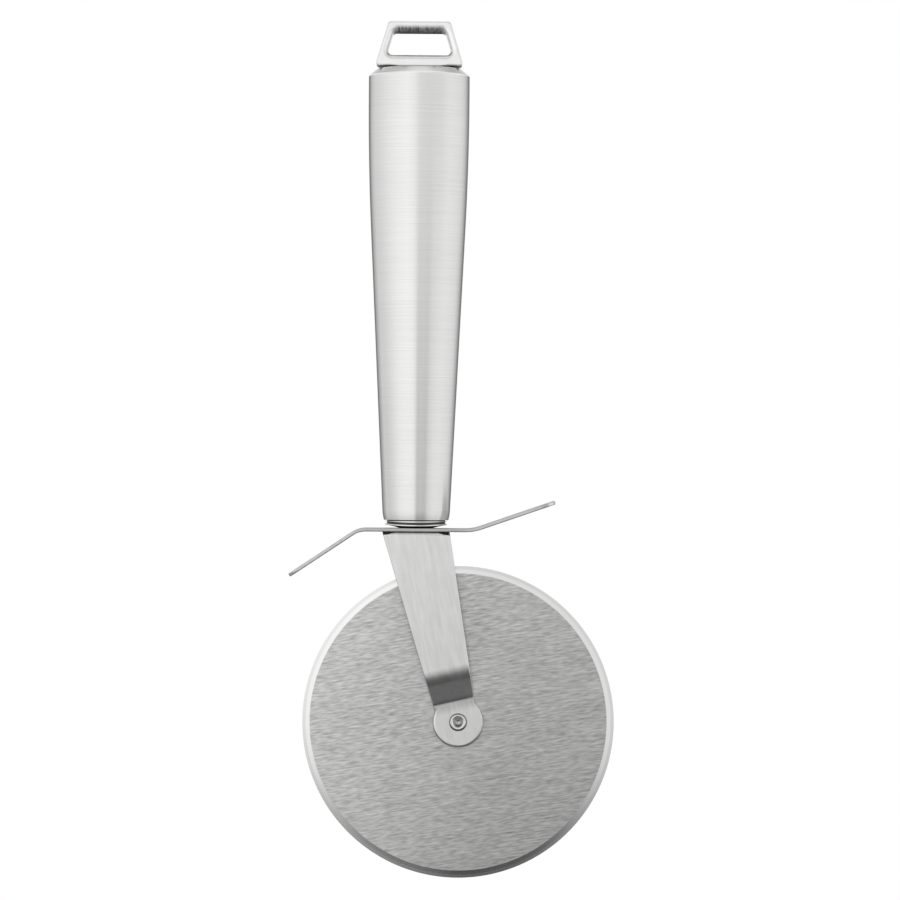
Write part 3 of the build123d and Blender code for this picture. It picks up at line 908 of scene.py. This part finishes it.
        # Rings whose faces take painted shade: the crown beside the guard, the groove and the gap.
        beside_guard, groove_rings, gap_rings = {1, 2, 3}, {6, 7, 8, 9}, {12, 13, 14, 15}
        hollows = (beside_guard, groove_rings, gap_rings)
        recess = []
        for face in cap.data.polygons:
            rings = {corner // sizes.grip_sides for corner in face.vertices}
            if any(rings <= hollow for hollow in hollows):
                recess.append(face.index)
        first, last = len(flat), len(flat) + len(crowned)
        for vertex in cap.data.vertices:
            if first <= vertex.index // sizes.grip_sides < last:
                reach = vertex.co.x**2 + vertex.co.y**2
                vertex.co.z += ball - sqrt(ball**2 - reach)
        smoothed(cap, sizes.smooth_angle)
        return cap, recess


class CUTTER_OT_grip(CutterOperator, bpy.types.Operator):
    """Tapered oval tube of brushed sheet"""

    bl_idname = "cutter.grip"
    bl_label = "Grip tube"

    @staticmethod
    def half_width(sizes, place):
        """Half the tube's width at a height: straight, then bending evenly into a steady taper."""
        top_half = (TUBE_HIGH.x - TUBE_LOW.x) / 2
        taper_length = TUBE_HIGH.z - TUBE_LOW.z - sizes.grip_straight - sizes.grip_bend
        slope = (2 * top_half - sizes.grip_end_width) / (sizes.grip_bend + 2 * taper_length)
        run = TUBE_HIGH.z - place - sizes.grip_straight
        bend = min(max(run, 0), sizes.grip_bend)
        taper = max(run - sizes.grip_bend, 0)
        close = max(sizes.grip_close_length - (place - TUBE_LOW.z), 0) / sizes.grip_close_length
        drawn_in = slope * (bend**2 / (2 * sizes.grip_bend) + taper)
        return top_half - drawn_in - sizes.grip_close_in * close**2

    def execute(self, context):
        sizes, looks = self.kept()
        bend_top = TUBE_HIGH.z - sizes.grip_straight
        bend_rings, close_rings = sizes.grip_bend_rings, sizes.grip_close_rings
        bend_step = sizes.grip_bend / bend_rings
        close_step = sizes.grip_close_length / close_rings
        heights = [TUBE_HIGH.z]
        heights += [bend_top - bend_step * ring for ring in range(bend_rings + 1)]
        heights += [TUBE_LOW.z + close_step * ring for ring in range(close_rings, -1, -1)]
        halves = [self.half_width(sizes, place) for place in heights]
        outer = [(half, half * DEPTH_SHARE, place) for half, place in zip(halves, heights)]
        wall = sizes.grip_wall
        inner = [(wide - wall, deep - wall, place) for wide, deep, place in reversed(outer)]
        tube = ringed("handle_tube_brushed", outer + inner, sizes.grip_sides)
        smoothed(tube, sizes.smooth_angle)
        dressed(tube, BODY, "brushed_grip", brushed_grip(looks), "handle_tube")
        return {"FINISHED"}


class CUTTER_OT_sheet(CutterOperator, bpy.types.Operator):
    """Finger guard and fork, bent from rolled sheet"""

    bl_idname = "cutter.sheet"
    bl_label = "Guard and fork"

    def execute(self, context):
        sizes, looks = self.kept()
        guard_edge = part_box("finger_guard")[1].y
        past_fork = 2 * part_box("fork")[1].y
        guard_finish = cut_sheet(looks, "guard_sheet", pi / 2, guard_edge)
        fork_finish = cut_sheet(looks, "fork_sheet", FORK_LEAN, past_fork)
        for node, material in (("finger_guard", guard_finish), ("fork", fork_finish)):
            dressed(merged(node, sizes.smooth_angle), BODY, "cut_sheet", material, node)
        return {"FINISHED"}


class CUTTER_OT_blade(CutterOperator, bpy.types.Operator):
    """Ground wheel with a bevel and a finer honed edge"""

    bl_idname = "cutter.blade"
    bl_label = "Blade"

    def execute(self, context):
        sizes, looks = self.kept()
        rim = BLADE_HIGH.z - AXLE.z
        half = (BLADE_HIGH.y - BLADE_LOW.y) / 2
        front = [
            (sizes.bore, -half),
            (rim - sizes.bevel_width, -half),
            (rim - sizes.hone_width, -sizes.hone_thickness / 2),
            (rim, -sizes.edge_thickness / 2),
        ]
        profile = front + [(radius, -place) for radius, place in reversed(front)]
        sections = [(radius, radius, place) for radius, place in profile]
        blade = ringed("blade_ground", sections, sizes.wheel_sides, AXLE, along_y=True)
        smoothed(blade, sizes.facet_angle)
        dressed(blade, WHEEL, "ground_blade", ground_blade(looks), "blade")
        return {"FINISHED"}


class CUTTER_OT_pivot(CutterOperator, bpy.types.Operator):
    """Clinched rivet, with the bush and washers that it holds"""

    bl_idname = "cutter.pivot"
    bl_label = "Pivot"

    def execute(self, context):
        sizes, looks = self.kept()
        material = turned_pivot(looks)
        cone_steps, roll_steps, crown_steps = 6, 12, 8
        back = -EAR_FRONT
        floor = EAR_FRONT - sizes.roll_height + sizes.recess_depth
        cone = [
            (sizes.recess_radius * part / cone_steps,
             floor + sizes.recess_cone * (1 - (part / cone_steps) ** 2))
            for part in range(1, cone_steps + 1)
        ]
        middle = (sizes.recess_radius + sizes.roll_radius) / 2
        reach = (sizes.roll_radius - sizes.recess_radius) / 2
        roll = [
            (middle - reach * cos(pi * part / roll_steps),
             EAR_FRONT - sizes.roll_height * sin(pi * part / roll_steps))
            for part in range(roll_steps + 1)
        ]
        shank = [
            (sizes.shank_radius, EAR_FRONT),
            (sizes.shank_radius, back),
            (sizes.head_radius, back),
        ]
        half_head = sizes.head_height / 2
        crown = [
            (sizes.head_radius * cos(pi / 2 * part / crown_steps),
             back + half_head + half_head * sin(pi / 2 * part / crown_steps))
            for part in range(crown_steps)
        ]
        sections = [(radius, radius, place) for radius, place in cone + roll + shank + crown]
        axis = Vector((AXLE.x, 0, AXLE.z))
        rivet = ringed(
            "pivot_rivet_clinched", sections, sizes.rivet_sides, axis, along_y=True, closed=False
        )
        smoothed(rivet, sizes.smooth_angle)
        dressed(rivet, BODY, "turned_pivot", material, "pivot_rivet")
        painted(material, "pivot_bush", "front_washer", "rear_washer")
        return {"FINISHED"}


class CUTTER_OT_fastening(CutterOperator, bpy.types.Operator):
    """Screw, lock washer and insert that hold fork and guard to the handle"""

    bl_idname = "cutter.fastening"
    bl_label = "Fastening"

    def execute(self, context):
        _, looks = self.kept()
        painted(plated_fastener(looks), "threaded_insert", "fork_screw", "lock_washer")
        return {"FINISHED"}


class CUTTER_OT_studio(CutterOperator, bpy.types.Operator):
    """Light tent, pale floor, lamps and the camera"""

    bl_idname = "cutter.studio"
    bl_label = "Studio"

    def execute(self, context):
        studio = context.scene.cutter_studio
        self.light_world(context.scene)
        self.pitch_tent(studio)
        self.lay_floor(studio)
        self.hang_lamp("key_lamp", KEY_PLACE, studio.key_size, studio.key_power)
        self.hang_lamp("fill_lamp", FILL_PLACE, studio.fill_size, studio.fill_power)
        self.place_camera(context.scene, studio)
        context.scene.view_settings.view_transform = "Standard"
        return {"FINISHED"}

    @staticmethod
    def seen(finish):
        """1 for rays from the camera, from gloss and through glass, which see plain white."""
        rays = ("Is Camera Ray", "Is Glossy Ray", "Is Transmission Ray")
        camera, gloss, glass = finish.node("LightPath", output=rays)
        return finish.clamp(camera + gloss + glass)

    def light_world(self, scene):
        """White surround, which lights rough surfaces a little less than it is seen."""
        scene.world = bpy.data.worlds.new("white_surround")
        finish = Finish(scene.world)
        seen = self.seen(finish)
        strength = SURROUND_LIGHT + seen * (1 - SURROUND_LIGHT)
        surround = finish.node("Background", inputs={"Color": grey(1), "Strength": strength})
        finish.output("OutputWorld", surround)

    @staticmethod
    def pitch_tent(studio):
        """Tent whose panels and dark flags the steel reflects. Only gloss sees it."""
        bpy.ops.object.select_all(action="DESELECT")
        bpy.ops.mesh.primitive_uv_sphere_add(
            segments=TENT_SEGMENTS, ring_count=TENT_RINGS,
            radius=studio.tent_radius, location=MIDDLE,
        )
        tent = bpy.context.object
        tent.name = "light_tent"
        bpy.ops.object.shade_smooth()
        finish = new_finish("tent_cloth")
        across, back, up = finish.axes(finish.place())
        heading = finish.maths("ARCTAN2", across, 0 - back) / FULL_TURN + 0.5
        level = finish.maths("SQRT", across * across + back * back)
        height = finish.maths("ARCTAN2", up, level) / HALF_TURN + 0.5
        high, low = (
            finish.ramp(heading, [(turn / 360 + 0.5, tone / TENT_LEVEL) for turn, tone in tones])
            for tones in (TENT_HIGH, TENT_LOW)
        )
        raised, overhead = (
            finish.fade(height, *[tilt / 180 + 0.5 for tilt in change])
            for change in (TENT_RAISED, TENT_OVERHEAD)
        )
        front = finish.ramp(height, [(tilt / 180 + 0.5, tone) for tilt, tone in TENT_UP])
        aside = finish.fade(abs(heading - 0.5), *[turn / 360 for turn in TENT_ASIDE])
        evened = front + (1 - front) * aside * TENT_EVENING
        walls = (low + (high - low) * raised) * evened * TENT_LEVEL
        glow = walls + (TENT_TOP - walls) * overhead
        finish.output("OutputMaterial", finish.node("Emission", inputs={"Strength": glow}))
        tent.data.materials.append(finish.owner)
        tent.visible_camera = tent.visible_diffuse = tent.visible_shadow = False
        tent.visible_transmission = tent.visible_volume_scatter = False

    def lay_floor(self, studio):
        """Pale disc that keeps the object's shadow and is pure white towards its rim."""
        centre = Vector((0, 0, MIDDLE.z - studio.floor_drop))
        bpy.ops.object.select_all(action="DESELECT")
        bpy.ops.mesh.primitive_circle_add(
            vertices=FLOOR_SIDES, radius=studio.floor_radius, fill_type="NGON", location=centre
        )
        floor = bpy.context.object
        floor.name = "pale_floor"
        finish = new_finish("pale_paper")
        place = finish.place()
        radius = finish.vectors("LENGTH", place, output="Value")
        whitening = [studio.floor_radius * part for part in FLOOR_WHITENING]
        rim = finish.fade(radius, *whitening) * self.seen(finish)
        grain = finish.noise(place, PAPER_GRAIN, 3.0)
        paper = finish.blend(grain, grey(0.85), grey(0.88))
        shaded = finish.node("BsdfDiffuse", inputs={"Color": paper})
        white = finish.node("Emission", inputs={"Color": grey(1), "Strength": 1.0})
        mixed = finish.node("MixShader", inputs={0: rim, 1: shaded, 2: white})
        finish.output("OutputMaterial", mixed)
        floor.data.materials.append(finish.owner)

    @staticmethod
    def hang_lamp(name, place, size, power):
        """Soft square lamp that faces the object's middle, and that gloss doesn't see."""
        data = bpy.data.lights.new(name, "AREA")
        data.shape = "SQUARE"
        data.size = size
        data.energy = power
        lamp = bpy.data.objects.new(name, data)
        bpy.context.scene.collection.objects.link(lamp)
        place = Vector(place)
        facing = (place - MIDDLE).to_track_quat("Z", "Y").to_matrix().to_4x4()
        lamp.matrix_world = Matrix.Translation(place) @ facing
        lamp.visible_camera = lamp.visible_glossy = False

    @staticmethod
    def place_camera(scene, studio):
        """Camera in front of the wheel, a little below what it aims at."""
        data = bpy.data.cameras.new("front_camera")
        data.lens = studio.focal_length
        data.sensor_width = SENSOR_WIDTH
        data.clip_start, data.clip_end = CLIP_RANGE
        camera = bpy.data.objects.new("front_camera", data)
        scene.collection.objects.link(camera)
        aim = Vector(studio.aim)
        drop = studio.camera_distance * sin(studio.lift) / cos(studio.lift)
        place = aim + Vector((0, -studio.camera_distance, -drop))
        turn = Matrix.Rotation(pi / 2 + studio.lift, 4, "X") @ Matrix.Rotation(studio.roll, 4, "Z")
        camera.matrix_world = Matrix.Translation(place) @ turn
        scene.camera = camera


# The studio's lamps, camera, surround and floor, in metres and the sensor in mm

KEY_PLACE = (-0.9, -1.1, 0.9)
FILL_PLACE = (1.2, -0.7, 0.4)
SENSOR_WIDTH = 36
CLIP_RANGE = (0.05, 20)
SURROUND_LIGHT = 0.75
FLOOR_SIDES = 128
FLOOR_WHITENING = (0.25, 0.85)

# The tent's tones, by heading in degrees from the camera towards the right, above and below
# the level, and by height. The front's change with height is eased towards the sides and back

FULL_TURN = radians(360)
HALF_TURN = radians(180)
TENT_SEGMENTS = 64
TENT_RINGS = 32
TENT_LEVEL = 1.3
TENT_TOP = 1.0
TENT_RAISED = (-16, 16)
TENT_OVERHEAD = (64, 78)
TENT_ASIDE = (62, 105)
TENT_EVENING = 0.55
TENT_HIGH = [
    (-180, 1.10), (-165, 0.95), (-150, 0.70), (-135, 0.78), (-120, 0.86), (-90, 0.90),
    (-75, 0.98), (-60, 1.07), (-40, 1.15), (-22, 1.22), (-8, 1.12), (0, 1.00),
    (12, 0.96), (40, 0.92), (58, 1.03), (75, 1.00), (92, 0.96), (105, 0.92),
    (120, 0.84), (135, 0.68), (150, 0.66), (165, 0.95), (180, 1.10),
]
TENT_LOW = [
    (-180, 0.85), (-150, 0.58), (-135, 0.48), (-120, 0.50), (-105, 0.76), (-90, 0.70),
    (-75, 0.76), (-60, 0.90), (-50, 1.04), (-38, 1.13), (-10, 1.16), (-4, 0.92),
    (0, 0.50), (9, 0.62), (20, 0.54), (28, 0.88), (40, 1.06), (50, 1.05),
    (75, 0.96), (90, 0.90), (105, 0.82), (120, 0.60), (135, 0.45), (150, 0.55), (180, 0.85),
]
TENT_UP = [
    (-90, 0.62), (-77, 0.36), (-66, 0.12), (-52, 0.10), (-38, 0.15), (-29, 0.55), (-20, 0.95),
    (-8, 1.0), (8, 1.0), (20, 1.0), (32, 0.86), (46, 0.66), (62, 0.64), (90, 0.64),
]

PIECES = [
    CUTTER_OT_hang_loop,
    CUTTER_OT_caps,
    CUTTER_OT_grip,
    CUTTER_OT_sheet,
    CUTTER_OT_blade,
    CUTTER_OT_pivot,
    CUTTER_OT_fastening,
    CUTTER_OT_studio,
]


class CUTTER_PT_bench(bpy.types.Panel):
    """Pieces of the cutter, their sizes and their looks"""

    bl_idname = "CUTTER_PT_bench"
    bl_label = "Pizza cutter"
    bl_space_type = "VIEW_3D"
    bl_region_type = "UI"
    bl_category = "Pizza cutter"

    def draw(self, context):
        for piece in PIECES:
            self.layout.operator(piece.bl_idname)
        for kept in GROUPS:
            group = getattr(context.scene, kept)
            column = self.layout.column(align=True)
            for name in group.__annotations__:
                column.prop(group, name)


GROUPS = {
    "cutter_sizes": CutterSizes,
    "cutter_finishes": CutterFinishes,
    "cutter_studio": CutterStudio,
}


def register():
    """Makes the classes known, and gives the scene its property groups."""
    for made in (*GROUPS.values(), *PIECES, CUTTER_PT_bench):
        bpy.utils.register_class(made)
    for name, group in GROUPS.items():
        setattr(bpy.types.Scene, name, PointerProperty(type=group))


def unregister():
    """Undoes register."""
    for name in GROUPS:
        delattr(bpy.types.Scene, name)
    for made in (CUTTER_PT_bench, *reversed(PIECES), *GROUPS.values()):
        bpy.utils.unregister_class(made)


def main():
    """Builds the cutter and its studio."""
    register()
    bpy.ops.cutter.hang_loop()
    bpy.ops.cutter.caps()
    bpy.ops.cutter.grip()
    bpy.ops.cutter.sheet()
    bpy.ops.cutter.blade()
    bpy.ops.cutter.pivot()
    bpy.ops.cutter.fastening()
    bpy.ops.cutter.studio()


if __name__ == "__main__":
    main()
